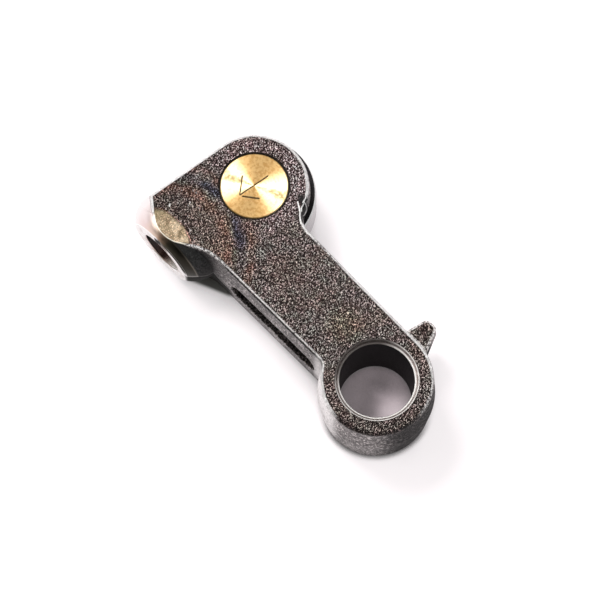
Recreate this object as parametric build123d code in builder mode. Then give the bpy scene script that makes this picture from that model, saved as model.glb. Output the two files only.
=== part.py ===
"""Roller rocker arm for a diesel engine: a drop-forged lever, its steel roller and a bronze roller pin.

Origin: on the pivot bore's axis, half way through the lever. +X runs to the roller pin,
+Y to the side of the push-rod socket, +Z along the pivot bore. Lengths in millimetres.
The lever's outline is given on its parting plane, half way through, where it is widest.
"""
from build123d import *
from math import atan2, cos, degrees, radians, sin, sqrt
import os

# Lever
thickness = 31.0             # across both side faces
centre_distance = 79.5       # pivot bore axis to roller pin axis
bore_diameter = 25.0
bore_chamfer = 1.5
hub_diameter = 39.8
draft_angle = 3.7            # forging draft of the walls, in degrees
edge_round = 1.4             # all round both side faces

# Arm, in the arm's own frame: u along its socket-side wall, v out of that wall
arm_angle = 13.4             # from +X to u, in degrees
arm_wall_offset = 9.75       # pivot axis to the socket-side wall
cam_side_taper = 1.4         # the cam-side wall opens from u by this, in degrees
hub_blend_radius = 2.4       # where the socket-side wall leaves the hub

# Weight-saving pocket in the socket-side wall
pocket_start = 19.8          # along u from the pivot axis
pocket_end = 60.4
pocket_width = 10.4
pocket_depth = 8.0
pocket_height = 0.6          # its middle, from the parting plane
pocket_floor_bevel = 1.5

# Fork and roller
ear_radius = 19.6
neck_blend_radius = 7.0      # where the cam-side wall runs into the ear
end_wall_lean = 8.0          # the end wall leans outward from v by this, in degrees
roller_diameter = 42.0
roller_width = 15.4
roller_edge_chamfer = 0.5
roller_bore_chamfer = 0.8
roller_side_clearance = 0.3
roller_rim_clearance = 1.6   # roller to the slot's back wall

# Roller pin, pressed into the ears
pin_diameter = 23.4
pin_recess = 0.2             # each end sits this far under the side face
pin_edge_chamfer = 0.4
pin_hole_chamfer = 0.3
pin_running_clearance = 0.04  # on the radius, between the pin and the roller

# Push-rod socket boss, its axis along v
socket_reach = 86.6          # pivot axis to the socket axis, along u
socket_face_height = 17.9    # pivot axis to the boss's end face, along v
socket_diameter = 15.8
socket_depth = 10.4          # to the bottom of the round cup
socket_lip_chamfer = 0.5
boss_face_diameter = 25.8
boss_diameter = 35.2
boss_side_height = 9.0       # where the boss's side turns into its round shoulder, along v
boss_root_height = -6.0      # where the boss has sunk into the fork, along v
boss_root_diameter = 22.0
pad_radius = 14.7            # the outline over the boss
pad_setback = 1.0            # from the boss's end face to the top of that round
pad_corner_angle = 50.0      # where the round runs out towards the end wall, in degrees
pad_corner_height = 9.6      # top of the end wall, along v
notch_radius = 18.0          # hollow between the arm and the boss

# Lug on the hub's cam side
lug_angle = -71.5            # from +X, in degrees
lug_reach = 29.5             # pivot axis to its tip
lug_root_width = 12.8
lug_tip_width = 5.0
lug_tip_radius = 2.3
lug_thickness = 12.0
lug_edge_chamfer = 0.8
lug_blend_radius = 2.5       # at its foot

# Places that follow from the sizes above
half_thickness = thickness / 2
hub_radius = hub_diameter / 2
boss_radius = boss_diameter / 2
boss_face_radius = boss_face_diameter / 2
socket_radius = socket_diameter / 2
pad_height = socket_face_height - pad_setback - pad_radius
slot_width = roller_width + 2 * roller_side_clearance
slot_radius = roller_diameter / 2 + roller_rim_clearance
pin_length = thickness - 2 * pin_recess
arm_u = Vector(cos(radians(arm_angle)), sin(radians(arm_angle)))
arm_v = Vector(-arm_u.Y, arm_u.X)
pivot = Vector(0, 0)
pin_centre = Vector(centre_distance, 0)
pin_in_arm = Vector(centre_distance * arm_u.X, -centre_distance * arm_u.Y)
pad_in_arm = Vector(socket_reach, pad_height)
socket_axis = Axis(arm_u * socket_reach, arm_v)
arm_plane = Plane(origin=pivot, x_dir=arm_u, z_dir=(0, 0, 1))
socket_plane = Plane(origin=arm_u * socket_reach, x_dir=arm_u, z_dir=(0, 0, 1))


def polar(centre, radius, angle):
    """The point of a circle at an angle in degrees."""
    return centre + Vector(radius * cos(radians(angle)), radius * sin(radians(angle)))


def bearing(start, end):
    """The direction from one point to another, in degrees from 0 to 360."""
    return degrees(atan2(end.Y - start.Y, end.X - start.X)) % 360


def arc(centre, radius, start, end):
    """The anticlockwise arc between two angles in degrees, or clockwise where the end is lower."""
    return CenterArc(centre, radius, start, end - start)


def lever_outline():
    """The lever's side view, in the arm's frame: cam side, ear, end wall, socket pad, notch, hub."""
    cam_start = -90 - cam_side_taper
    cam_tangent = polar(pivot, hub_radius, cam_start)
    cam_direction = polar(pivot, 1, -cam_side_taper)
    along = (pin_in_arm - cam_tangent).dot(cam_direction)
    off = (pin_in_arm - cam_tangent - cam_direction * along).length
    neck_back = sqrt((ear_radius + neck_blend_radius) ** 2 - (off + neck_blend_radius) ** 2)
    neck_start = cam_tangent + cam_direction * (along - neck_back)
    neck_centre = neck_start + polar(pivot, neck_blend_radius, cam_start)
    neck_end = bearing(pin_in_arm, neck_centre)
    ear_end = 360 - end_wall_lean
    end_wall_foot = polar(pin_in_arm, ear_radius, ear_end)
    end_wall_length = (pad_corner_height - end_wall_foot.Y) / cos(radians(end_wall_lean))
    pad_corner = polar(end_wall_foot, end_wall_length, 90 - end_wall_lean)
    notch_height = arm_wall_offset + notch_radius
    notch_back = sqrt((pad_radius + notch_radius) ** 2 - (notch_height - pad_height) ** 2)
    notch_centre = Vector(socket_reach - notch_back, notch_height)
    pad_end = bearing(pad_in_arm, notch_centre)
    blend_height = arm_wall_offset + hub_blend_radius
    blend_centre = Vector(sqrt((hub_radius + hub_blend_radius) ** 2 - blend_height**2), blend_height)
    blend_end = bearing(pivot, blend_centre)
    with BuildLine() as outline:
        Line(cam_tangent, neck_start)
        arc(neck_centre, neck_blend_radius, cam_start + 180, neck_end - 180)
        arc(pin_in_arm, ear_radius, neck_end, ear_end)
        Line(end_wall_foot, pad_corner)
        Line(pad_corner, polar(pad_in_arm, pad_radius, pad_corner_angle))
        arc(pad_in_arm, pad_radius, pad_corner_angle, pad_end)
        arc(notch_centre, notch_radius, pad_end + 180, 270)
        Line((notch_centre.X, arm_wall_offset), (blend_centre.X, arm_wall_offset))
        arc(blend_centre, hub_blend_radius, 270, blend_end + 180 - 360)
        arc(pivot, hub_radius, blend_end, 360 + cam_start)
    return outline.line


def boss_profile():
    """Half of the boss's section: x out from the socket axis, y along v."""
    shoulder_rise = socket_face_height - boss_side_height
    shoulder_run = boss_radius - boss_face_radius
    shoulder_radius = (shoulder_rise**2 + shoulder_run**2) / (2 * shoulder_run)
    with BuildLine() as outline:
        Polyline(
            (boss_face_radius, socket_face_height),
            (0, socket_face_height),
            (0, boss_root_height),
            (boss_root_diameter / 2, boss_root_height),
            (boss_radius, boss_side_height),
        )
        RadiusArc((boss_radius, boss_side_height), (boss_face_radius, socket_face_height), -shoulder_radius)
    return outline.line


def socket_profile():
    """Half of the socket's section: a chamfered mouth, a short bore and a round cup."""
    cup_height = socket_face_height - socket_depth + socket_radius
    with BuildLine() as outline:
        Polyline(
            (0, cup_height - socket_radius),
            (0, socket_face_height),
            (socket_radius + socket_lip_chamfer, socket_face_height),
            (socket_radius, socket_face_height - socket_lip_chamfer),
            (socket_radius, cup_height),
        )
        RadiusArc((socket_radius, cup_height), (0, cup_height - socket_radius), socket_radius)
    return outline.line


with BuildPart() as boss:
    # Push-rod socket boss, turned round its axis and flush with both side faces
    with BuildSketch(socket_plane):
        with BuildLine():
            add(boss_profile())
        make_face()
    revolve(axis=socket_axis)
    with BuildSketch(Plane.XY):
        with Locations(socket_axis.position):
            Circle(2 * (socket_face_height + boss_radius))
    extrude(amount=half_thickness, both=True, mode=Mode.INTERSECT)

with BuildPart() as lug:
    # Tapered lug, x out of the hub, begun inside the hub's wall
    root = (bore_diameter + hub_diameter) / 4
    with BuildSketch(Plane(origin=pivot, x_dir=polar(pivot, 1, lug_angle), z_dir=(0, 0, 1))):
        with BuildLine():
            Polyline(
                (root, -lug_root_width / 2),
                (hub_radius - lug_tip_radius, -lug_root_width / 2),
                (lug_reach, -lug_tip_width / 2),
                (lug_reach, lug_tip_width / 2),
                (hub_radius - lug_tip_radius, lug_root_width / 2),
                (root, lug_root_width / 2),
                close=True,
            )
        face = make_face()
        fillet(face.vertices().sort_by_distance((0, 0))[-2:], lug_tip_radius)
    extrude(amount=lug_thickness / 2, taper=draft_angle)
    chamfer(lug.faces().sort_by(Axis.Z)[-1].edges(), lug_edge_chamfer)
    mirror(about=Plane.XY)

with BuildPart() as pocket:
    # Weight-saving pocket, as the metal it takes away: rounded ends and a bevelled floor
    pocket_middle = arm_u * (pocket_start + pocket_end) / 2 + arm_v * arm_wall_offset
    pocket_mouth = Plane(origin=pocket_middle + (0, 0, pocket_height), x_dir=arm_u, z_dir=arm_v)
    with BuildSketch(pocket_mouth):
        SlotOverall(pocket_end - pocket_start, pocket_width)
    extrude(amount=-pocket_depth)
    chamfer(pocket.faces().sort_by(Axis(pivot, arm_v))[0].edges(), pocket_floor_bevel)

with BuildPart() as lever_body:
    # Forged blank: the side view, drafted both ways from the parting plane, its rims rounded
    with BuildSketch(arm_plane):
        with BuildLine():
            add(lever_outline())
        make_face()
    extrude(amount=half_thickness, taper=draft_angle)
    fillet(lever_body.faces().sort_by(Axis.Z)[-1].edges(), edge_round)
    mirror(about=Plane.XY)
    add(lug.part)
    fillet(lever_body.edges(Select.NEW), lug_blend_radius)
    add(boss.part)

    # Fork: the slot for the roller leaves an ear on each side
    with BuildSketch(Plane.XY):
        with Locations(pin_centre):
            Circle(slot_radius)
    extrude(amount=slot_width / 2, both=True, mode=Mode.SUBTRACT)

    # Weight-saving pocket
    add(pocket.part, mode=Mode.SUBTRACT)

    # Pivot bore and the pin's press-fit holes, chamfered at the side faces
    for centre, radius, mouth in (
        (pivot, bore_diameter / 2, bore_chamfer),
        (pin_centre, pin_diameter / 2, pin_hole_chamfer),
    ):
        with Locations(centre):
            Hole(radius)
        rims = lever_body.edges(Select.LAST).group_by(Axis.Z)
        chamfer(rims[0] + rims[-1], mouth)

    # Push-rod socket
    with BuildSketch(socket_plane):
        with BuildLine():
            add(socket_profile())
        make_face()
    revolve(axis=socket_axis, mode=Mode.SUBTRACT)
lever_body.part.label = "lever_body"

with BuildPart() as roller:
    with BuildSketch(Plane.XY):
        with Locations(pin_centre):
            Circle(roller_diameter / 2)
            Circle(pin_diameter / 2 + pin_running_clearance, mode=Mode.SUBTRACT)
    extrude(amount=roller_width / 2, both=True)
    rims = roller.faces().filter_by(Axis.Z).edges().group_by(SortBy.RADIUS)
    chamfer(rims[-1], roller_edge_chamfer)
    chamfer(rims[0], roller_bore_chamfer)
roller.part.label = "roller"

with BuildPart() as roller_pin:
    with BuildSketch(Plane.XY):
        with Locations(pin_centre):
            Circle(pin_diameter / 2)
    extrude(amount=pin_length / 2, both=True)
    chamfer(roller_pin.faces().filter_by(Axis.Z).edges(), pin_edge_chamfer)
roller_pin.part.label = "roller_pin"

os.makedirs("parts", exist_ok=True)
for piece in (lever_body, roller, roller_pin):
    export_step(piece.part, f"parts/{piece.part.label}.step")
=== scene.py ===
"""Looks of the roller rocker arm: rough forged lever, turned bronze pin, ground steel roller."""

import math
import random

import bmesh
import bpy
from mathutils import Matrix, Vector, noise


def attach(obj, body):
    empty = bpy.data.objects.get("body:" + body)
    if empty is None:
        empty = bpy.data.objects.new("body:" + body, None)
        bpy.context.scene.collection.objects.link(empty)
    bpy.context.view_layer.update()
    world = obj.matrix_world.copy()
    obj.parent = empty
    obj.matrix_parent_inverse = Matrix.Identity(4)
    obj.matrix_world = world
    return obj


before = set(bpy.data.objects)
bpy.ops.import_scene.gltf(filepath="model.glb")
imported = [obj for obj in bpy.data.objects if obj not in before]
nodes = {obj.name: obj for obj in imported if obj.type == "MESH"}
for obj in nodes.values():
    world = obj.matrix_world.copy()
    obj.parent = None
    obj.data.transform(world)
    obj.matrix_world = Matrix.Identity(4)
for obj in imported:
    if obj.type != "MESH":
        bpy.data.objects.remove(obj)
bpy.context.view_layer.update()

MM = 0.001
FLOOR_Z = -15.5 * MM
FLOOR_HALF = 3.0              # metres from the origin to the floor's edges

# Places on the lever, in millimetres in the row's frame
PIVOT = (0.0, 0.0)
PIN = (79.5, 0.0)
HALO = (76.3, 38.9)           # centre of the temper colours
OLIVE_SPOT = (21.6, -0.7)
BROWN_SPOT = (78.6, 37.1)     # on the boss's end
BLUE_SPOTS = ((67.8, 12.8, 8.5, 3.5), (85.8, 13.6, 6.0, 2.5))         # x, y, outer and inner radius
NICKS = ((81.4, 37.8, 10.2, 1.10), (80.0, 37.5, 11.0, 0.85))          # x, y, z and radius
FLOOR_SHINE = (-5.5, -3.6)    # brightest place of the floor seen through the pivot bore

# The arm leaves the pivot bore at a slant; the socket's axis stands square to it
ARM_ANGLE = math.radians(13.4)
ARM_ALONG = (math.cos(ARM_ANGLE), math.sin(ARM_ANGLE))
ARM_OUT = (-math.sin(ARM_ANGLE), math.cos(ARM_ANGLE))
SOCKET_REACH = 86.6           # along the arm to the socket's axis
BOSS_SIDE, BOSS_RADIUS, BOSS_ROUND, BOSS_TAPER = 9.0, 17.6, 10.78, 0.44   # the boss's turned outline
BOSS_END = (17.6, 17.8)       # out along the socket's axis, where the end face begins
PAD_CENTRE = (86.8, 13.6)     # worn corner of the socket pad: along and out
PAD_HALVES = (10.5, 5.4)
PAD_LEAN, PAD_LEAN_FROM = 0.15, 11.3

# The torn rim by the neck, as lines and spots on the flat side
NECK = (63.6, -9.4)
NECK_PIT = (67.2, -11.4)
NECK_WALL = (63.4, -10.6)
NECK_RIM = ((66.9, -9.6), (65.1, -9.0), (63.6, -8.45), (62.2, -7.6), (60.9, -7.0), (59.7, -6.55))
NECK_LOOP = ((65.3, -11.0), (64.7, -10.0), (64.2, -9.4), (63.3, -9.0))
NECK_TAIL = ((65.8, -11.0), (66.3, -11.8), (66.7, -12.6), (67.9, -13.8))
NECK_SHADE = ((67.4, -11.7), (64.8, -10.6), (62.9, -9.4))

# Curled scraps on the ear's rim by the neck: places on the lever's surface, and thickness
FLASH_STRANDS = (
    (((67.9, -13.8, 15.3), (66.8, -12.6, 15.3), (66.3, -11.8, 15.3), (65.7, -11.4, 15.2),
      (65.0, -11.5, 14.4), (64.7, -11.6, 12.4), (64.3, -11.4, 10.6), (63.5, -10.4, 10.6),
      (62.6, -9.5, 12.4), (61.9, -8.7, 14.3)), 0.24),
    (((65.3, -11.2, 15.2), (64.8, -10.2, 15.3), (64.2, -9.5, 15.3), (63.3, -9.1, 15.1)), 0.22),
    (((63.8, -8.7, 15.2), (62.2, -7.7, 15.2), (60.9, -7.1, 15.2), (59.3, -6.6, 15.2)), 0.34),
    (((69.2, -14.9, 15.2), (68.0, -13.5, 15.2), (67.1, -12.9, 15.2), (66.2, -12.3, 14.9)), 0.22))
FLASH_SEED = 11
FLASH_JITTER = 0.12           # how far a place may rise or sink
FLASH_TOP = 15.45             # just under the hub's side, so that the scraps stay in the lever's box
FLASH_STEPS = 10              # points between two places
FLASH_SIDES = 16
FLASH_VOXEL = 0.1 * MM

# Level directions across the lever
GRAIN_ACROSS = (-0.866, -0.5, 0.0)    # the blasted grain is drawn out across this
VIEW_LEFT = (0.5156, 0.8567)          # to the left as the camera sees it
HUB_SHADED = (-0.62, -0.785)
HUB_FOOT = (-0.86, 0.51)
HUB_FOOT_RIM = (-0.87, 0.5)
HUB_LEFT = (0.29, 0.957)
HUB_RIGHT = (0.06, -0.998)
EAR_RIGHT = (-0.49, -0.87)
EAR_UP_LEFT = (0.944, 0.254)
BORE_LIT = (-0.92, -0.05)
PIN_SHADED_SECTORS = (0.683, -0.730)         # the pin's darker, stained sectors of painted shade lie both ways along this
PIN_STREAK = (-0.609, 0.793)          # and its dull streaks square to this
FLOOR_FOOT = (-0.8195, 0.4972)

# Scribed marks on the pin's upper end, measured from its axis: from, to and half width
PIN_MARKS = (((0.66, -5.75), (-0.27, 5.87), 0.32), ((5.17, 1.67), (-0.1, 5.75), 0.33),
             ((-1.26, 5.28), (-4.7, 1.0), 0.42))

# Colours used more than once, and those of the temper rings
BARE_AND_LIT = (1.0, 0.985, 0.98)
BLACK = (0.010, 0.009, 0.009)
TRIM_SHADE = (0.022, 0.022, 0.020)
TRIM_HIGHLIGHT = (0.34, 0.33, 0.32)
OXIDE_FILM = (0.016, 0.005, 0.002)
TEMPER_BLUE = (0.40, 0.47, 0.68)
TEMPER_RINGS = (              # radius, half width, weight and tone
    (22.6, 3.4, 0.85, (1.20, 0.84, 0.70)),
    (25.3, 1.5, 0.45, (0.88, 1.06, 0.84)),
    (31.2, 2.6, 0.60, (1.30, 0.80, 0.66)))
DULL = 0.88                   # roughness of scale, dirt and shaded walls

# The floor's look: how strongly it glows, and how far the lever's contact shade reaches, in metres
FLOOR_GLOW = 0.70
CONTACT_REACH, CONTACT_LIMITS = 0.025, (0.14, 0.64)
TOUCH_REACH, TOUCH_LIMITS = 0.003, (0.90, 0.45)
SHADE_SAMPLES = 8

# The camera, its place in millimetres; the lamps: how far to the left, up the picture and above
# their aim in metres, size, power and colour
CAMERA_SENSOR, CAMERA_LENS = 36.0, 137.03
CAMERA_CLIP = (0.01, 20.0)
CAMERA_PLACE = (-154.1, 112.3, 747.3)
CAMERA_RIGHT = (-0.5156, -0.8567, -0.0119)
CAMERA_BACK = (-0.2500, 0.1371, 0.9585)
LAMPS_AIM = (0.04, 0.005, 0.0)
LAMPS = (
    ("key", 0.34, 0.44, 0.88, (0.36, 0.32), 7.8, (1.0, 0.985, 0.97)),
    ("right_lamp", -0.66, -0.12, 0.66, (0.45, 0.45), 1.9, (0.98, 0.985, 1.0)),
    ("left_card", 0.78, 0.20, 0.34, (0.80, 0.34), 2.4, (1.0, 0.985, 0.975)))
WORLD_COLOUR = (1.0, 0.99, 0.985, 1.0)
WORLD_LEVELS = (0.05, 0.75, 0.42, 0.10)   # limits of the fade and the sky's strength at each


# ---------------------------------------------------------------- node helpers

class Tree:
    """Short names for the shader nodes that the materials below are made of."""

    def __init__(self, name):
        self.material = bpy.data.materials.new(name)
        self.material.use_nodes = True
        self.nodes = self.material.node_tree.nodes
        self.links = self.material.node_tree.links
        self.nodes.clear()
        self.result = self.nodes.new("ShaderNodeOutputMaterial")
        self.coord = self.nodes.new("ShaderNodeTexCoord")
        self.p = self.vec("SCALE", self.coord.outputs["Object"], scale=1000.0)   # millimetres
        parts = self.new("ShaderNodeSeparateXYZ", Vector=self.p)
        self.x, self.y, self.z = parts.outputs
        self.abs_z = self.math("ABSOLUTE", self.z)
        normal = self.new("ShaderNodeSeparateXYZ", Vector=self.coord.outputs["Normal"])
        self.abs_nz = self.math("ABSOLUTE", normal.outputs[2])
        self.coat = {}

    def new(self, kind, **inputs):
        node = self.nodes.new(kind)
        for name, value in inputs.items():
            self.put(node.inputs[name.replace("_", " ")], value)
        return node

    def put(self, socket, value):
        """Link an output to the socket, or set the socket to a plain value."""
        if isinstance(value, bpy.types.NodeSocket):
            self.links.new(value, socket)
        elif socket.type == "RGBA" and len(value) == 3:
            socket.default_value = (*value, 1.0)
        else:
            socket.default_value = value

    def math(self, operation, a, b=None, clamp=False):
        node = self.nodes.new("ShaderNodeMath")
        node.operation = operation
        node.use_clamp = clamp
        for socket, value in zip(node.inputs, (a, b)):
            if value is not None:
                self.put(socket, value)
        return node.outputs[0]

    def vec(self, operation, a, b=None, scale=None):
        node = self.nodes.new("ShaderNodeVectorMath")
        node.operation = operation
        self.put(node.inputs[0], a)
        if b is not None:
            self.put(node.inputs[1], b)
        if scale is not None:
            self.put(node.inputs["Scale"], scale)
        return node.outputs["Value" if operation in ("DOT_PRODUCT", "DISTANCE") else "Vector"]

    def fold(self, operation, values):
        total = values[0]
        for value in values[1:]:
            total = self.math(operation, total, value)
        return total

    def add(self, *values):
        return self.fold("ADD", values)

    def mul(self, *values):
        return self.fold("MULTIPLY", values)

    def most(self, *values):
        return self.fold("MAXIMUM", values)

    def least(self, *values):
        return self.fold("MINIMUM", values)

    def sub(self, a, b):
        return self.math("SUBTRACT", a, b)

    def div(self, a, b):
        return self.math("DIVIDE", a, b)

    def inv(self, value):
        return self.sub(1.0, value)

    def ramp(self, value, low, high):
        """0 below low, 1 above high, smooth between; low may be the larger."""
        node = self.nodes.new("ShaderNodeMapRange")
        node.interpolation_type = "SMOOTHSTEP"
        self.put(node.inputs["Value"], value)
        if low <= high:
            limits = (low, high, 0.0, 1.0)
        else:
            limits = (high, low, 1.0, 0.0)
        for name, limit in zip(("From Min", "From Max", "To Min", "To Max"), limits):
            node.inputs[name].default_value = limit
        return node.outputs[0]

    def band(self, value, centre, width):
        """1 at the centre, 0 beyond the width on either side."""
        return self.ramp(self.math("ABSOLUTE", self.sub(value, centre)), width, 0.0)

    def towards(self, direction, origin=None):
        """How far the place lies along a level direction, from the origin or the place given."""
        place = self.p if origin is None else self.vec("SUBTRACT", self.p, (*origin, 0.0))
        return self.vec("DOT_PRODUCT", place, (*direction, 0.0))

    def from_axis(self, x, y):
        """Distance from the line through (x, y) along Z."""
        flat = self.new("ShaderNodeCombineXYZ", X=self.x, Y=self.y).outputs[0]
        return self.vec("DISTANCE", flat, (x, y, 0.0))

    def drawn(self, across, factor):
        """The place squeezed along one direction, so grain read from it is drawn out across it."""
        share = self.mul(self.vec("DOT_PRODUCT", self.p, across), factor - 1.0)
        return self.vec("ADD", self.p, self.vec("SCALE", across, scale=share))

    def noise(self, scale, detail=2.0, rough=0.5, vector=None):
        return self.new("ShaderNodeTexNoise", Vector=vector or self.p, Scale=scale, Detail=detail,
                        Roughness=rough).outputs[0]

    def wobble(self, scale, size):
        """Noise about zero, to make a limit uneven."""
        return self.mul(self.sub(self.noise(scale), 0.5), size)

    def mix(self, factor, a, b, blend="MIX"):
        node = self.nodes.new("ShaderNodeMix")
        node.data_type = "RGBA"
        node.blend_type = blend
        self.put(node.inputs[0], factor)
        self.put(node.inputs[6], a)
        self.put(node.inputs[7], b)
        return node.outputs[2]

    def times(self, colour, tone):
        return self.mix(1.0, colour, tone, "MULTIPLY")

    def toned(self, share, colour, tone):
        """The colour, multiplied by the tone where share is 1."""
        return self.mix(share, colour, self.times(colour, tone))

    def lerp(self, factor, a, b):
        node = self.nodes.new("ShaderNodeMix")
        node.data_type = "FLOAT"
        self.put(node.inputs[0], factor)
        self.put(node.inputs[2], a)
        self.put(node.inputs[3], b)
        return node.outputs[0]

    def stops(self, value, *pairs):
        """A colour ramp from (place, colour) pairs."""
        node = self.nodes.new("ShaderNodeValToRGB")
        self.put(node.inputs[0], value)
        elements = node.color_ramp.elements
        for element, (place, colour) in zip((elements[0], elements[1]), (pairs[0], pairs[-1])):
            element.position = place
            element.color = (*colour, 1.0)
        for place, colour in pairs[1:-1]:
            element = elements.new(place)
            element.color = (*colour, 1.0)
        return node.outputs[0]

    def stroke(self, start, end, half_width, origin=(0.0, 0.0)):
        """1 on a line between two places measured from the origin given, in millimetres."""
        first = (origin[0] + start[0], origin[1] + start[1], 0.0)
        line = Vector((end[0] - start[0], end[1] - start[1], 0.0))
        flat = self.new("ShaderNodeCombineXYZ", X=self.x, Y=self.y).outputs[0]
        rel = self.vec("SUBTRACT", flat, first)
        share = self.math("DIVIDE", self.vec("DOT_PRODUCT", rel, tuple(line)),
                          line.length_squared, clamp=True)
        foot = self.vec("SCALE", tuple(line), scale=share)
        away = self.add(self.vec("DISTANCE", rel, foot), self.wobble(2.2, 0.16))
        return self.ramp(away, half_width, half_width * 0.45)

    def drawn_line(self, places, half_width):
        """1 on the open line through the places."""
        return self.most(*[self.stroke(start, end, half_width)
                           for start, end in zip(places, places[1:])])

    def bump(self, height, distance, strength):
        node = self.nodes.new("ShaderNodeBump")
        node.inputs["Strength"].default_value = strength
        node.inputs["Distance"].default_value = distance
        self.put(node.inputs["Height"], height)
        return node.outputs[0]

    def lay(self, share, **layers):
        """Cover the coat's colour, metallic, roughness or height, where share is 1."""
        for name, layer in layers.items():
            blend = self.mix if name == "colour" else self.lerp
            self.coat[name] = blend(share, self.coat[name], layer)

    def surface(self, colour, metallic, roughness, normal, **constants):
        bsdf = self.nodes.new("ShaderNodeBsdfPrincipled")
        self.put(bsdf.inputs["Base Color"], colour)
        self.put(bsdf.inputs["Metallic"], metallic)
        self.put(bsdf.inputs["Roughness"], roughness)
        self.put(bsdf.inputs["Normal"], normal)
        for name, value in constants.items():
            self.put(bsdf.inputs[name.replace("_", " ")], value)
        self.links.new(bsdf.outputs[0], self.result.inputs["Surface"])
        return bsdf


# ---------------------------------------------------------------- the forged lever

def mark_parts(t):
    """Shares from 0 to 1 for the lever's parts, from its own places and normals.

    The limits are radii and heights in millimetres, or abs_nz: 1 on a flat side, 0 on a wall.
    """
    t.along = t.towards(ARM_ALONG)
    t.out = t.towards(ARM_OUT)
    t.from_pivot = t.from_axis(*PIVOT)
    t.from_pin = t.from_axis(*PIN)
    t.off = t.sub(t.along, SOCKET_REACH)
    t.from_socket = t.math("SQRT", t.add(t.mul(t.off, t.off), t.mul(t.z, t.z)))

    t.high = t.ramp(t.abs_z, 13.6, 14.0)
    lug = t.mul(t.ramp(t.y, -18.0, -19.6), t.inv(t.high))
    t.flat = t.ramp(t.abs_nz, 0.93, 0.985)
    t.side = t.mul(t.flat, t.most(t.high, lug))
    t.rim = t.mul(t.ramp(t.abs_nz, 0.10, 0.35), t.ramp(t.abs_nz, 0.995, 0.95), t.high)
    t.lug_rim = t.mul(t.ramp(t.abs_nz, 0.25, 0.5), t.ramp(t.abs_nz, 0.98, 0.93), lug)
    t.bore = t.ramp(t.from_pivot, 14.15, 13.95)
    t.bore_wall = t.ramp(t.from_pivot, 12.62, 12.56)
    t.groove = t.mul(t.ramp(t.from_pin, 12.34, 12.18), t.ramp(t.abs_z, 14.0, 14.5))
    t.slot = t.mul(t.ramp(t.abs_z, 8.10, 8.05), t.ramp(t.from_pin, 22.75, 22.65))
    t.pocket = t.mul(t.ramp(t.along, 19.0, 19.6), t.ramp(t.along, 61.2, 60.6),
                     t.ramp(t.out, 1.0, 1.5), t.ramp(t.out, 9.35, 9.0), t.ramp(t.abs_z, 6.6, 6.2))
    t.cup = t.mul(t.ramp(t.from_socket, 8.05, 7.95), t.ramp(t.out, 6.6, 7.0))

    # The boss, by how far the place stands proud of its turned outline
    up = t.sub(t.out, BOSS_SIDE)
    shoulder = t.math("SQRT", t.most(t.sub(BOSS_ROUND ** 2, t.mul(up, up)), 0.0))
    skin = t.least(t.add(shoulder, BOSS_RADIUS - BOSS_ROUND), t.add(t.mul(up, BOSS_TAPER), BOSS_RADIUS))
    t.proud = t.sub(t.from_socket, skin)
    on_boss = t.most(t.mul(t.ramp(t.proud, 0.30, 0.12), t.ramp(t.proud, -0.9, -0.6)),
                     t.ramp(t.out, 17.2, 17.35))
    t.boss = t.mul(on_boss, t.ramp(t.out, 3.0, 4.0), t.ramp(t.along, 68.6, 69.4),
                   t.inv(t.mul(t.flat, t.high)))


def blasted_skin(t):
    """Grain of the blasted skin: worn knobs between dark pits."""
    swirl = t.new("ShaderNodeTexNoise", Vector=t.p, Scale=1.3, Detail=1.0).outputs[1]
    strokes = t.drawn(GRAIN_ACROSS, 1.45)
    swirled = t.vec("ADD", strokes, t.vec("SCALE", swirl, scale=0.7))
    t.fine = t.noise(3.2, 2.0, 0.6, vector=strokes)
    t.knobs = t.noise(1.65, 1.5, 0.5, vector=swirled)
    t.grain = t.add(t.mul(t.knobs, 0.62), t.mul(t.fine, 0.38))
    t.broad = t.noise(0.10)
    blasted = t.stops(t.grain, (0.42, (0.006, 0.0035, 0.0035)), (0.48, (0.022, 0.015, 0.0145)),
                      (0.52, (0.070, 0.055, 0.052)), (0.56, (0.245, 0.208, 0.199)),
                      (0.62, (0.83, 0.76, 0.745)))
    tint = t.stops(t.noise(0.35, 2.0, 0.6), (0.35, (1.07, 0.96, 0.97)), (0.65, (0.95, 1.03, 0.99)))
    t.blasted = t.toned(t.ramp(t.broad, 0.35, 0.70), t.times(blasted, tint), (1.06, 0.97, 0.92))


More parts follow.
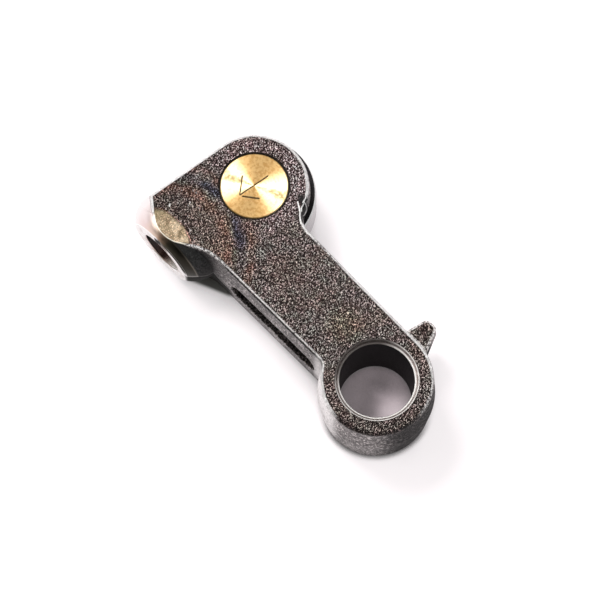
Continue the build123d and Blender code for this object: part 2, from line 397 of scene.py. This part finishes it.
def temper_colours(t):
    """Rings of temper colours round the hardened socket, the stains on the flat sides, and painted
    light, glints and shade there.
    """
    from_halo = t.add(t.from_axis(*HALO), t.wobble(0.20, 4.5))
    patchy = t.ramp(t.noise(0.16, vector=t.vec("ADD", t.p, (40.0, 11.0, 0.0))), 0.38, 0.60)
    blue_spots = t.most(*[t.ramp(t.from_axis(x, y), outer, inner) for x, y, outer, inner in BLUE_SPOTS])
    blue = t.mul(t.band(from_halo, 27.3, 3.0), t.lerp(blue_spots, 0.25, 1.0))
    tempered = t.toned(t.ramp(from_halo, 34.0, 20.0), t.blasted, (1.05, 0.97, 0.90))
    for radius, width, weight, tone in TEMPER_RINGS:
        ring = t.mul(t.band(from_halo, radius, width), t.lerp(patchy, 0.35, 1.0), weight)
        tempered = t.mix(ring, tempered, t.mix(1.0, t.times(t.blasted, tone), OXIDE_FILM, "ADD"))
    tempered = t.mix(blue, tempered, t.times(t.blasted, TEMPER_BLUE))
    # Painted light: the flat side round the pin is lightened
    painted_light_round_pin = t.mul(t.ramp(t.from_pin, 19.5, 15.5), t.ramp(from_halo, 33.0, 40.0))
    tempered = t.toned(painted_light_round_pin, tempered, (1.50, 1.36, 1.44))
    far_left = t.ramp(t.towards(VIEW_LEFT, PIN), 14.0, 27.0)
    tempered = t.toned(far_left, tempered, (0.74, 0.77, 0.81))
    # Painted glints: white specks on the far left of the flat side
    painted_glints = t.ramp(t.noise(1.0, 1.0, 0.5, vector=t.vec("ADD", t.p, (3.0, 70.0, 0.0))), 0.70, 0.74)
    tempered = t.mix(t.mul(painted_glints, far_left), tempered, (0.90, 0.88, 0.87))
    olive = t.mul(t.ramp(t.from_axis(*OLIVE_SPOT), 9.0, 2.0), 0.6)
    tempered = t.mix(olive, tempered, t.times(t.blasted, (1.22, 1.14, 0.86)))
    # Painted shade: the flat side darkens towards the hub's foot
    shade_towards_foot = t.mul(t.ramp(t.towards(HUB_FOOT), 4.0, 16.0), 0.45)
    t.tempered = t.toned(shade_towards_foot, tempered, (0.50, 0.46, 0.44))


def trimmed(t, colour):
    """The colour, with a painted highlight on the trimmed edge beside the boss and painted shade on the
    scoop below it laid on.
    """
    return t.mix(t.mul(t.trim_line, 0.55), t.mix(t.mul(t.under, 0.9), colour, TRIM_SHADE), TRIM_HIGHLIGHT)


def drafted_walls(t):
    """Walls, smoother than the sides, with the trimmed flash line round the middle, and painted shade on
    the hub wall away from the lamps, in the notch and beside the boss.
    """
    wall_fine = t.noise(2.6, 2.0, 0.6)
    t.wall_grain = t.add(t.mul(t.noise(1.1, 3.0, 0.7), 0.62), t.mul(wall_fine, 0.26),
                         t.mul(t.broad, 0.12))
    wall = t.stops(t.wall_grain, (0.39, (0.006, 0.005, 0.005)), (0.46, (0.045, 0.040, 0.039)),
                   (0.53, (0.170, 0.152, 0.150)), (0.605, (0.68, 0.64, 0.63)))
    # Painted shade: the hub wall facing away from the lamps is darkened
    t.away = t.mul(t.ramp(t.towards(HUB_SHADED), 0.0, 12.0), t.ramp(t.from_pivot, 26.0, 22.0))
    wall = t.toned(t.mul(t.away, 0.9), wall, (0.16, 0.16, 0.165))
    # Painted shade, with soot, darkens the wall in the notch between arm and boss
    notch_shade_and_soot = t.mul(t.ramp(t.along, 60.0, 70.0), t.ramp(t.out, 2.0, 6.0), t.ramp(t.along, 80.0, 76.0))
    wall = t.toned(t.mul(notch_shade_and_soot, 0.85), wall, (0.26, 0.25, 0.25))
    flash = t.mul(t.band(t.z, 0.0, 0.9), t.ramp(t.noise(0.7), 0.35, 0.6))
    wall = t.mix(t.mul(flash, 0.35), wall, (0.36, 0.34, 0.33))
    # Painted shade below the trimmed edge in the scoop by the boss, and a painted highlight along the
    # edge
    scoop = t.mul(t.ramp(t.along, 60.0, 63.0), t.ramp(t.along, 75.5, 73.5), t.ramp(t.out, 4.0, 6.0))
    above_trim = t.sub(t.z, t.lerp(t.ramp(t.along, 66.0, 71.5), -5.0, 1.8))
    t.under = t.mul(scoop, t.ramp(above_trim, 0.2, -0.5))
    t.trim_line = t.mul(scoop, t.band(above_trim, 0.35, 0.55))
    # Painted shade: the wall beside the boss is darkened
    beside = t.mul(t.ramp(t.proud, 6.0, 0.5), t.ramp(t.out, 3.0, 5.0),
                   t.ramp(t.along, 60.0, 66.0), t.ramp(t.along, 84.0, 80.0))
    wall = t.toned(t.mul(beside, 0.9), wall, (0.42, 0.42, 0.43))
    t.wall = trimmed(t, wall)


def worn_rims(t):
    """Rims, chipped along the arm, with painted highlights on the ear, hub and cam-side edge, painted
    shade by the hub's foot, and a painted highlight on the hub's left wall.
    """
    socket_edge = t.mul(t.ramp(t.out, 6.5, 8.0), t.ramp(t.along, 12.0, 18.0),
                        t.ramp(t.along, 66.0, 62.0))
    t.chips = t.ramp(t.add(t.mul(t.noise(1.3, 3.0, 0.7), 0.8), t.mul(t.knobs, 0.2),
                           t.mul(socket_edge, 0.06)), 0.42, 0.54)
    hub_left = t.mul(t.ramp(t.towards(HUB_LEFT), 15.5, 18.5), t.ramp(t.x, 19.0, 15.0))
    hub_right = t.ramp(t.towards(HUB_RIGHT), 13.5, 17.0)
    ear_right = t.mul(t.ramp(t.towards(EAR_RIGHT, PIN), 7.0, 14.0), t.ramp(t.from_pin, 31.0, 27.0))
    ear_up_left = t.ramp(t.towards(EAR_UP_LEFT, PIN), 11.5, 15.5)
    cam_edge = t.mul(t.ramp(t.y, -9.0, -11.0), t.ramp(t.x, 12.0, 16.0), t.ramp(t.x, 66.0, 62.0))
    # Painted highlights: the rims on the sides facing the lamps are near white, broken up by chips
    rubbed = t.most(ear_right, cam_edge, hub_left, hub_right, ear_up_left)
    # Painted shade: the rims towards the hub's foot are darkened
    rim_shade_at_foot = t.mul(t.ramp(t.towards(HUB_FOOT_RIM), 8.0, 14.0), t.inv(rubbed))
    ridge = t.band(t.abs_nz, 0.80, 0.22)
    neck = t.ramp(t.from_axis(*NECK), 5.4, 3.6)
    upper = t.mul(t.ramp(t.abs_nz, 0.36, 0.58), t.lerp(neck, 1.0, t.ramp(t.abs_nz, 0.74, 0.86)))
    crumbs = t.mul(t.chips, t.lerp(ridge, 0.30, 1.0),
                   t.lerp(socket_edge, 1.0, t.ramp(t.abs_nz, 0.72, 0.88)))
    bright = t.most(t.mul(rubbed, upper, t.lerp(t.chips, 0.8, 1.0)), t.mul(crumbs, t.inv(neck)))
    # The steeper part of the rim on the socket side is darkened to near black
    t.seam = t.mul(socket_edge, t.ramp(t.abs_nz, 0.78, 0.55), 0.85)
    colour = t.mix(bright, t.mix(0.5, t.blasted, t.wall), BARE_AND_LIT)
    colour = t.mix(t.mul(neck, t.inv(upper), 0.95), colour, BLACK)
    colour = t.mix(t.seam, colour, (0.009, 0.008, 0.008))
    colour = t.mix(rim_shade_at_foot, colour, t.times(t.blasted, (0.35, 0.33, 0.33)))
    t.lay(t.rim, colour=colour, roughness=0.38)
    t.lay(t.mul(t.rim, bright, t.inv(rim_shade_at_foot)), metallic=0.35)
    # Painted highlight: the hub's left wall, which faces the lamps, is lightened, broken up by chips
    lit_hub_wall = t.mul(hub_left, t.lerp(t.ramp(t.z, 0.0, 12.0), 0.75, 1.0), t.ramp(t.z, -14.0, -9.0),
                    t.inv(t.side))
    t.lay(t.mul(lit_hub_wall, t.lerp(t.chips, 0.52, 0.95)), colour=(0.90, 0.885, 0.88))


def torn_neck(t):
    """The torn rim by the neck: shade on the flat side, a dark wall and bright thin scraps."""
    pit = t.ramp(t.add(t.from_axis(*NECK_PIT), t.mul(t.sub(t.fine, 0.5), 2.5)), 2.1, 1.2)
    pit = t.mul(t.most(pit, t.drawn_line(NECK_SHADE, 1.15)), t.high)
    wall = t.mul(t.ramp(t.from_axis(*NECK_WALL), 3.4, 2.4), t.ramp(t.z, 4.0, 8.0), t.inv(t.high))
    scraps = t.mul(t.most(t.drawn_line(NECK_RIM, 0.32), t.drawn_line(NECK_LOOP, 0.20),
                          t.drawn_line(NECK_TAIL, 0.24)), t.high)
    t.lay(t.mul(pit, 0.94), colour=BLACK)
    t.lay(t.mul(wall, 0.94), colour=BLACK)
    t.lay(scraps, colour=BARE_AND_LIT)
    black = t.mul(t.most(pit, wall, t.mul(t.rim, t.seam)), t.inv(scraps))
    t.lay(black, roughness=DULL)
    t.lay(t.most(black, scraps), metallic=0.30)


def socket_pad(t):
    """Worn smooth corner of the socket pad, straw coloured."""
    lean = t.mul(t.sub(t.out, PAD_LEAN_FROM), PAD_LEAN)
    pad_a = t.div(t.add(t.sub(t.along, PAD_CENTRE[0]), lean), PAD_HALVES[0])
    pad_b = t.div(t.sub(t.out, PAD_CENTRE[1]), PAD_HALVES[1])
    pad = t.ramp(t.add(t.mul(pad_a, pad_a), t.mul(pad_b, pad_b), t.mul(t.noise(0.35), 0.5)), 1.35, 0.85)
    fringe = t.mul(t.band(pad, 0.35, 0.35), t.side)
    pad = t.mul(pad, t.side)
    straw = t.stops(t.noise(0.55, 3.0, 0.6), (0.34, (0.10, 0.078, 0.044)),
                    (0.5, (0.215, 0.170, 0.108)), (0.66, (0.37, 0.31, 0.225)))
    straw = t.mix(0.14, straw, t.times(t.blasted, (2.4, 2.0, 1.4)))
    straw = t.mix(t.mul(t.ramp(t.along, 89.0, 95.0), 0.7), straw, (0.11, 0.088, 0.045))
    t.lay(t.mul(pad, 0.95), colour=straw)
    t.lay(t.mul(fringe, 0.55), colour=t.times(t.tempered, (1.55, 0.92, 0.85)))
    t.lay(pad, height=t.mul(t.grain, 0.18))


def turned_boss(t):
    """Turned boss: bright at its end, then straw, brown and khaki towards its foot, as temper colours
    and painted light; painted shade on its lower side towards the pivot.
    """
    turning = t.new("ShaderNodeCombineXYZ", X=t.mul(t.out, 3.2), Y=t.mul(t.from_socket, 3.2),
                    Z=t.mul(t.z, 0.05)).outputs[0]
    t.rings = t.noise(1.0, 1.0, 0.5, vector=turning)
    # The flank's colours are temper colours and painted light: lighter away from the pivot, darker
    # towards it
    flank_light_and_heat = t.add(t.off, t.wobble(0.22, 5.0))
    flank = t.stops(t.add(t.div(flank_light_and_heat, 30.0), 0.5), (0.22, (0.020, 0.018, 0.013)),
                    (0.34, (0.046, 0.042, 0.030)), (0.40, (0.075, 0.064, 0.042)),
                    (0.45, (0.17, 0.12, 0.080)), (0.51, (0.46, 0.31, 0.22)),
                    (0.57, (0.66, 0.51, 0.40)), (0.76, (0.68, 0.57, 0.55)), (0.92, (0.78, 0.74, 0.73)))
    smudge = t.mul(t.ramp(t.noise(0.45, 3.0, 0.6), 0.42, 0.62), t.ramp(t.from_socket, 12.3, 11.0))
    end_face = t.mix(smudge, (0.98, 0.965, 0.955), (0.72, 0.66, 0.63))
    brown = t.mul(t.ramp(t.from_axis(*BROWN_SPOT), 3.4, 1.4), t.ramp(t.z, 7.0, 9.5), 0.85)
    end_face = t.mix(brown, end_face, (0.20, 0.145, 0.11))
    dirt = t.mul(brown, 0.8)
    for x, y, level, radius in NICKS:
        nick = t.mul(t.ramp(t.from_axis(x, y), radius, radius * 0.5), t.band(t.z, level, 2.6))
        nick = t.least(t.mul(nick, 3.0), 1.0)
        end_face = t.mix(nick, end_face, (0.010, 0.008, 0.008))
        dirt = t.most(dirt, nick)

    # The bare end, a darkened strip along its edge, and the scale at the root on the side towards the
    # pivot
    bare = t.ramp(t.out, *BOSS_END)
    inward = t.ramp(t.off, 5.0, 0.0)
    turned = t.mix(bare, flank, end_face)
    dark_end_edge = t.mul(t.ramp(t.from_socket, 11.4, 11.8), t.ramp(t.off, 0.5, -3.0),
                      t.ramp(t.z, 2.0, 5.0), bare)
    turned = t.mix(dark_end_edge, turned, (0.05, 0.046, 0.033))
    root = t.mul(t.ramp(t.out, 15.2, 14.7), inward)
    scale = t.stops(t.sub(t.wall_grain, t.div(t.off, 40.0)), (0.64, (0.010, 0.010, 0.010)),
                    (0.78, (0.030, 0.031, 0.030)), (0.98, (0.105, 0.104, 0.104)))
    turned = t.mix(root, turned, scale)
    turned = t.mix(t.mul(t.band(t.out, 15.2, 0.35), inward, 0.5), turned, (0.17, 0.155, 0.13))
    # Painted shade: the boss's lower side towards the pivot is darkened to near black
    below = t.mul(t.ramp(t.z, -4.0, -8.0), inward, t.ramp(t.out, 17.7, 17.4))
    turned = t.mix(t.mul(below, 0.95), turned, (0.014, 0.014, 0.014))
    scaly = t.most(root, below, t.under, t.mul(dirt, bare), dark_end_edge)
    t.lay(t.boss, colour=trimmed(t, turned),
          roughness=t.lerp(scaly, t.lerp(t.rings, 0.24, 0.36), DULL),
          metallic=t.lerp(scaly, t.lerp(bare, 0.96, 0.45), 0.30), height=t.mul(t.rings, 0.02))

    # A painted highlight on the edge where the pad's flat side meets the boss
    pad_edge_highlight = t.mul(t.ramp(t.z, 15.18, 15.36), t.inv(t.flat), t.ramp(t.along, 77.0, 79.0),
                     t.ramp(t.out, 12.0, 13.2))
    t.lay(pad_edge_highlight, colour=(1.0, 0.95, 0.82), metallic=0.30)


def cup_pocket_slot(t):
    """The socket's hardened cup with painted light and shade inside, the pocket in the arm darkened as
    painted shade, and the fork's slot.
    """
    # Painted light and shade inside the cup: bright on the side towards the pivot, dark on the far side
    cup_light_and_shade = t.stops(t.add(t.div(t.off, 16.0), 0.32), (0.02, (1.0, 0.96, 0.91)),
                     (0.20, (0.62, 0.52, 0.46)), (0.30, (0.40, 0.28, 0.25)),
                     (0.39, (0.095, 0.060, 0.055)), (0.60, (0.060, 0.045, 0.046)),
                     (0.82, (0.070, 0.065, 0.071)))
    t.lay(t.cup, colour=cup_light_and_shade, roughness=0.26, height=t.mul(t.rings, 0.03),
          metallic=t.lerp(t.ramp(t.off, 0.5, -3.0), 0.95, 0.35))
    # Painted shade: the pocket's walls are darkened
    t.lay(t.pocket, colour=t.times(t.wall, (0.34, 0.31, 0.30)), roughness=0.62,
          height=t.mul(t.grain, 0.9))
    cut = t.noise(1.2, vector=t.vec("MULTIPLY", t.p, (0.25, 3.0, 3.0)))
    t.lay(t.slot, colour=t.stops(cut, (0.3, (0.07, 0.066, 0.064)), (0.7, (0.16, 0.152, 0.15))),
          roughness=0.36, height=t.mul(cut, 0.05))


def pivot_bore(t):
    """Pivot bore, its honed wall darkened as painted shade, with a machined chamfer lighter on its lit
    side and painted highlights on its edges.
    """
    hone = t.noise(1.0, 3.0, 0.6, vector=t.vec("MULTIPLY", t.p, (1.2, 1.2, 9.0)))
    worn = t.ramp(t.noise(0.9, 3.0, 0.65), 0.40, 0.60)
    # Painted highlights on the chamfer's two edges, strongest on the lit side
    lip_glints = t.most(t.band(t.from_pivot, 12.80, 0.50), t.mul(t.band(t.from_pivot, 13.92, 0.38), 0.8))
    lip_glints = t.least(t.mul(lip_glints, 1.5), 1.0)
    lit_side = t.ramp(t.towards(BORE_LIT), -9.5, -3.0)
    chamfer = t.mix(lit_side, (0.10, 0.080, 0.072), (0.34, 0.265, 0.245))
    chamfer = t.mix(t.mul(t.most(lip_glints, t.mul(worn, 0.35)), t.lerp(lit_side, 0.10, 1.0)),
                    chamfer, (1.0, 0.97, 0.94))
    # Painted shade: the bore's wall is darkened to near black
    honed = t.stops(hone, (0.3, (0.008, 0.0075, 0.008)), (0.7, (0.017, 0.016, 0.0165)))
    t.lay(t.bore, colour=t.mix(t.bore_wall, chamfer, honed),
          roughness=t.lerp(t.bore_wall, 0.26, 0.60),
          metallic=t.lerp(t.mul(t.lerp(lip_glints, 0.35, 1.0), t.inv(t.bore_wall)), 1.0, 0.20),
          height=t.lerp(t.bore_wall, t.mul(worn, 0.08), t.mul(hone, 0.03)))


def forged_steel():
    """The lever: shot-blasted sides, drafted walls, machined bores and boss, temper colours."""
    t = Tree("forged_steel")
    mark_parts(t)
    blasted_skin(t)
    temper_colours(t)
    drafted_walls(t)
    t.coat = {
        "colour": t.mix(t.side, t.wall, t.tempered),
        "roughness": t.lerp(t.side, t.lerp(t.wall_grain, 0.36, 0.56), t.lerp(t.fine, 0.36, 0.58)),
        "metallic": t.lerp(t.side, 0.92, 0.86),
        "height": t.lerp(t.side, t.mul(t.wall_grain, 0.7), t.grain)}
    t.lay(t.mul(t.most(t.away, t.under), t.inv(t.side)), roughness=DULL, metallic=0.40)
    worn_rims(t)
    torn_neck(t)
    t.lay(t.lug_rim, colour=t.mix(t.chips, t.blasted, (0.95, 0.92, 0.90)), height=t.grain)
    t.lay(t.rim, height=t.add(t.mul(t.chips, 0.35), t.mul(t.grain, 0.7)))
    socket_pad(t)
    turned_boss(t)
    cup_pocket_slot(t)
    pivot_bore(t)
    t.lay(t.groove, colour=(0.008, 0.007, 0.006))     # oil and dirt round the pin
    t.surface(t.coat["colour"], t.coat["metallic"], t.coat["roughness"],
              t.bump(t.coat["height"], 0.0008, 1.0))
    return t.material


# ---------------------------------------------------------------- other materials

def flash_steel():
    """The curled scraps at the neck: thin torn steel, rubbed bright."""
    t = Tree("flash_steel")
    torn = t.noise(2.4, 3.0, 0.6)
    colour = t.stops(torn, (0.34, (0.30, 0.28, 0.275)), (0.46, (0.80, 0.78, 0.77)),
                     (0.60, (0.97, 0.955, 0.95)))
    t.surface(colour, 0.35, t.lerp(torn, 0.34, 0.56), t.bump(torn, 0.0003, 0.8))
    return t.material


def pin_bronze():
    """The pin's ends, faced in a lathe, with painted light and shade in sectors and the fitter's scribed
    arrow towards the socket.
    """
    t = Tree("pin_bronze")
    radius = t.from_axis(*PIN)
    lathe = t.noise(1.0, 2.0, 0.6, vector=t.new("ShaderNodeCombineXYZ", X=t.mul(radius, 4.0)).outputs[0])
    stain = t.noise(0.9, 4.0, 0.65)
    speck = t.noise(1.6, 2.0, 0.6)

    def sector(direction):
        """1 along the direction from the pin's axis, both ways, 0 square to it."""
        flat = t.new("ShaderNodeCombineXYZ", X=t.sub(t.x, PIN[0]), Y=t.y).outputs[0]
        reach = t.vec("DOT_PRODUCT", flat, (*direction, 0.0))
        return t.math("ABSOLUTE", t.div(reach, t.add(radius, 0.01)))

    colour = t.stops(lathe, (0.25, (0.70, 0.435, 0.16)), (0.75, (0.88, 0.60, 0.27)))
    colour = t.mix(t.mul(t.ramp(stain, 0.44, 0.60), 0.75), colour, (0.60, 0.31, 0.09))
    colour = t.mix(t.mul(t.ramp(speck, 0.58, 0.72), 0.30), colour, (0.55, 0.33, 0.13))
    # Painted light: a lighter copy of the bronze for the sectors where the lamps' streaks fall
    lit_sectors = t.stops(lathe, (0.25, (0.80, 0.57, 0.28)), (0.75, (0.96, 0.755, 0.45)))
    lit_sectors = t.mix(t.mul(t.ramp(stain, 0.48, 0.66), 0.55), lit_sectors, (0.70, 0.48, 0.20))
    streak = t.mul(t.ramp(sector(PIN_STREAK), 0.30, 0.0), t.lerp(t.ramp(stain, 0.40, 0.58), 0.30, 1.0))
    lit_sectors = t.mix(t.mul(streak, 0.75), lit_sectors, (0.40, 0.33, 0.16))
    # Painted shade: two opposite sectors take the darker, stained copy
    shaded_sectors = t.ramp(sector(PIN_SHADED_SECTORS), 0.55, 0.86)
    colour = t.mix(shaded_sectors, lit_sectors, colour)
    marks = t.most(*[t.stroke(start, end, half_width, PIN) for start, end, half_width in PIN_MARKS])
    marks = t.mul(marks, t.ramp(t.z, 14.0, 14.6))
    colour = t.mix(t.mul(marks, 0.9), colour, (0.055, 0.038, 0.018))
    edge = t.ramp(radius, 11.50, 11.62)
    colour = t.mix(t.mul(edge, 0.92), colour, (0.03, 0.022, 0.012))
    roughness = t.lerp(t.mul(streak, t.mul(t.inv(shaded_sectors), 0.8)), t.lerp(lathe, 0.33, 0.41), 0.74)
    roughness = t.lerp(marks, roughness, 0.6)
    height = t.sub(t.mul(lathe, 0.05), marks)
    bsdf = t.surface(colour, 0.82, roughness, t.bump(height, 0.00015, 0.6),
                     Anisotropic=0.85, Anisotropic_Rotation=0.25)
    tangent = t.nodes.new("ShaderNodeTangent")
    tangent.direction_type = "RADIAL"
    tangent.axis = "Z"
    t.links.new(tangent.outputs[0], bsdf.inputs["Tangent"])
    return t.material


def ground_steel():
    """The roller: ground rim, faces darkened as painted shade, and painted highlights on its edges."""
    t = Tree("ground_steel")
    radius = t.from_axis(*PIN)
    face = t.ramp(t.abs_nz, 0.90, 0.98)
    lines = t.new("ShaderNodeCombineXYZ", X=t.mul(radius, 5.0), Y=t.mul(t.z, 6.0)).outputs[0]
    grind = t.noise(1.0, 3.0, 0.6, vector=lines)
    smear = t.noise(0.22, 3.0, 0.6)
    rim = t.stops(grind, (0.3, (0.27, 0.255, 0.265)), (0.7, (0.44, 0.415, 0.43)))
    # Painted shade: the flat faces are darkened to near black
    flat = t.stops(grind, (0.3, (0.014, 0.013, 0.014)), (0.7, (0.034, 0.031, 0.033)))
    colour = t.mix(face, rim, flat)
    smeared = t.mul(t.ramp(smear, 0.45, 0.75), t.lerp(face, 0.3, 0.05))
    colour = t.mix(smeared, colour, (0.30, 0.26, 0.22))
    # Painted highlight: the bevels are near white
    bevel_highlight = t.mul(t.ramp(t.abs_nz, 0.25, 0.45), t.ramp(t.abs_nz, 0.95, 0.85))
    colour = t.mix(bevel_highlight, colour, (1.0, 0.995, 0.99))
    t.surface(colour, t.lerp(bevel_highlight, 1.0, 0.1), t.lerp(grind, 0.20, 0.32), t.bump(grind, 0.00002, 0.5))
    return t.material


def studio_floor():
    """Matte off-white paper; what the camera and reflections see of it is lifted towards white."""
    t = Tree("studio_floor")
    along = t.towards(ARM_ALONG)
    out = t.towards(ARM_OUT)
    colour = t.stops(t.noise(0.02, 3.0, 0.5), (0.3, (0.49, 0.455, 0.468)), (0.7, (0.51, 0.475, 0.488)))
    open_sky = t.new("ShaderNodeAmbientOcclusion", Distance=CONTACT_REACH)
    touching = t.new("ShaderNodeAmbientOcclusion", Distance=TOUCH_REACH)
    open_sky.samples = touching.samples = SHADE_SAMPLES
    rays = t.nodes.new("ShaderNodeLightPath").outputs
    seen = t.most(rays["Is Camera Ray"], rays["Is Glossy Ray"], rays["Is Transmission Ray"])

    # Shade in the hollow between arm and boss, and where the hub and arm touch the paper
    chord = t.sub(out, t.add(t.mul(t.sub(along, 76.4), 0.42), 15.0))
    hollow = t.mul(t.ramp(chord, 0.9, -0.9), t.ramp(along, 60.5, 63.5), t.ramp(along, 78.5, 76.5),
                   t.ramp(out, 2.0, 6.0))
    low_hub = t.ramp(t.towards(FLOOR_FOOT), 4.0, 13.0)
    near = t.mul(t.ramp(along, 62.0, 48.0), t.lerp(low_hub, 0.25, 1.0), 0.85)
    touch = t.inv(t.mul(near, t.ramp(touching.outputs["AO"], *TOUCH_LIMITS)))
    beside_boss = t.mul(t.ramp(out, 13.0, 17.0), t.ramp(along, 76.0, 82.0))
    open_air = t.lerp(beside_boss, t.ramp(open_sky.outputs["AO"], *CONTACT_LIMITS), 1.0)

    # The pinkish light on the paper inside the pivot bore
    in_bore = t.ramp(t.from_axis(*PIVOT), 13.0, 12.0)
    shine = t.ramp(t.add(t.from_axis(*FLOOR_SHINE), t.wobble(0.12, 5.0)), 12.0, 1.0)
    shine = t.mul(in_bore, t.math("POWER", shine, 1.5), 0.40)
    lit = t.add(t.mul(open_air, t.inv(hollow), touch), shine)
    glow = t.new("ShaderNodeEmission", Color=t.mix(in_bore, (1.0, 0.968, 0.976), (1.0, 0.84, 0.89)),
                 Strength=t.mul(seen, lit, FLOOR_GLOW))
    colour = t.mix(t.inv(touch), colour, (0.10, 0.09, 0.09))
    diffuse = t.new("ShaderNodeBsdfDiffuse", Color=t.mix(hollow, colour, (0.25, 0.25, 0.235)))
    both = t.new("ShaderNodeAddShader")
    t.links.new(diffuse.outputs[0], both.inputs[0])
    t.links.new(glow.outputs[0], both.inputs[1])
    t.links.new(both.outputs[0], t.result.inputs["Surface"])
    return t.material


# ---------------------------------------------------------------- camera, floor, light

def make_camera():
    """The main view; gives back the camera's right and up directions."""
    data = bpy.data.cameras.new("camera")
    data.sensor_width = CAMERA_SENSOR
    data.lens = CAMERA_LENS
    data.clip_start, data.clip_end = CAMERA_CLIP
    camera = bpy.data.objects.new("camera", data)
    back = Vector(CAMERA_BACK).normalized()
    up = back.cross(Vector(CAMERA_RIGHT).normalized()).normalized()
    right = up.cross(back)
    turn = Matrix((right, up, back)).transposed().to_4x4()
    camera.matrix_world = Matrix.Translation(Vector(CAMERA_PLACE) * MM) @ turn
    bpy.context.scene.collection.objects.link(camera)
    bpy.context.scene.camera = camera
    return right, up


def make_floor():
    mesh = bpy.data.meshes.new("floor")
    corners = ((-1, -1), (1, -1), (1, 1), (-1, 1))
    mesh.from_pydata([(x * FLOOR_HALF, y * FLOOR_HALF, FLOOR_Z) for x, y in corners], [], [(0, 1, 2, 3)])
    floor = bpy.data.objects.new("floor", mesh)
    bpy.context.scene.collection.objects.link(floor)
    mesh.materials.append(studio_floor())


def make_lights(right, up):
    """Three soft lamps round the lever, and a sky that dims on the side away from the key lamp."""
    centre = Vector(LAMPS_AIM)
    left = Vector((-right.x, -right.y, 0)).normalized()
    top = Vector((up.x, up.y, 0)).normalized()
    for name, sideways, upwards, height, size, power, colour in LAMPS:
        data = bpy.data.lights.new(name, "AREA")
        data.shape = "RECTANGLE"
        data.size, data.size_y = size
        data.energy = power
        data.color = colour
        lamp = bpy.data.objects.new(name, data)
        lamp.location = centre + left * sideways + top * upwards + Vector((0, 0, height))
        lamp.rotation_euler = (centre - lamp.location).to_track_quat("-Z", "Y").to_euler()
        bpy.context.scene.collection.objects.link(lamp)
    world = bpy.data.worlds.new("studio")
    bpy.context.scene.world = world
    world.use_nodes = True
    tree = world.node_tree
    background = tree.nodes["Background"]
    background.inputs[0].default_value = WORLD_COLOUR
    coord = tree.nodes.new("ShaderNodeTexCoord")
    dot = tree.nodes.new("ShaderNodeVectorMath")
    dot.operation = "DOT_PRODUCT"
    dot.inputs[1].default_value = -top
    level = tree.nodes.new("ShaderNodeMapRange")
    level.interpolation_type = "SMOOTHSTEP"
    for socket, value in zip(level.inputs[1:5], WORLD_LEVELS):
        socket.default_value = value
    tree.links.new(coord.outputs["Generated"], dot.inputs[0])
    tree.links.new(dot.outputs["Value"], level.inputs[0])
    tree.links.new(level.outputs[0], background.inputs[1])


# ---------------------------------------------------------------- the curled scraps

def curve_through(points):
    """A smooth path through the points, with both ends carried on in a straight line."""
    points = [points[0] * 2 - points[1]] + points + [points[-1] * 2 - points[-2]]
    path = []
    for a, b, c, d in zip(points, points[1:], points[2:], points[3:]):
        for step in range(FLASH_STEPS):
            k = step / FLASH_STEPS
            path.append(0.5 * (2 * b + (c - a) * k + (2 * a - 5 * b + 4 * c - d) * k * k
                               + (3 * b - a - 3 * c + d) * k ** 3))
    path.append(points[-2])
    return path


def neck_flash(material):
    """The curled scraps of flash left on the ear's rim, beside the neck."""
    random.seed(FLASH_SEED)
    mesh = bmesh.new()
    for places, thickness in FLASH_STRANDS:
        path = curve_through([Vector((x, y, z + random.uniform(-FLASH_JITTER, FLASH_JITTER)))
                              for x, y, z in places])
        rings = []
        for i, place in enumerate(path):
            ahead = (path[min(i + 1, len(path) - 1)] - path[max(i - 1, 0)]).normalized()
            side = ahead.cross(Vector((0, 0, 1))).normalized()
            rise = side.cross(ahead)
            taper = math.sin(math.pi * (i + 0.6) / (len(path) + 0.2)) ** 0.35
            ring = []
            for turn in range(FLASH_SIDES):
                angle = math.tau * turn / FLASH_SIDES
                spoke = side * math.cos(angle) + rise * math.sin(angle)
                rough = (1.0 + 0.45 * noise.noise(place * 1.6 + spoke * 0.6)
                         + 0.15 * noise.noise(place * 6.0 + spoke))
                spot = place + spoke * thickness * taper * rough
                spot.z = min(spot.z, FLASH_TOP)
                ring.append(mesh.verts.new(spot * MM))
            rings.append(ring)
        for ring, following in zip(rings, rings[1:]):
            for turn in range(FLASH_SIDES):
                after = (turn + 1) % FLASH_SIDES
                mesh.faces.new((ring[turn], ring[after], following[after], following[turn]))
        mesh.faces.new(reversed(rings[0]))
        mesh.faces.new(rings[-1])
    bmesh.ops.recalc_face_normals(mesh, faces=mesh.faces[:])
    data = bpy.data.meshes.new("neck_flash")
    mesh.to_mesh(data)
    mesh.free()
    data.shade_smooth()
    piece = bpy.data.objects.new("neck_flash", data)
    bpy.context.scene.collection.objects.link(piece)
    melt = piece.modifiers.new("melt", "REMESH")
    melt.mode = "VOXEL"
    melt.voxel_size = FLASH_VOXEL
    melt.use_smooth_shade = True
    data.materials.append(material)
    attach(piece, "lever")


right, up = make_camera()
make_floor()
make_lights(right, up)

steel = forged_steel()
neck_flash(flash_steel())
for name, material in (("lever_body", steel), ("roller", ground_steel()), ("roller_pin", pin_bronze())):
    mesh = nodes[name].data
    mesh.materials.clear()
    mesh.materials.append(material)

scene = bpy.context.scene
scene.view_settings.view_transform = "Standard"
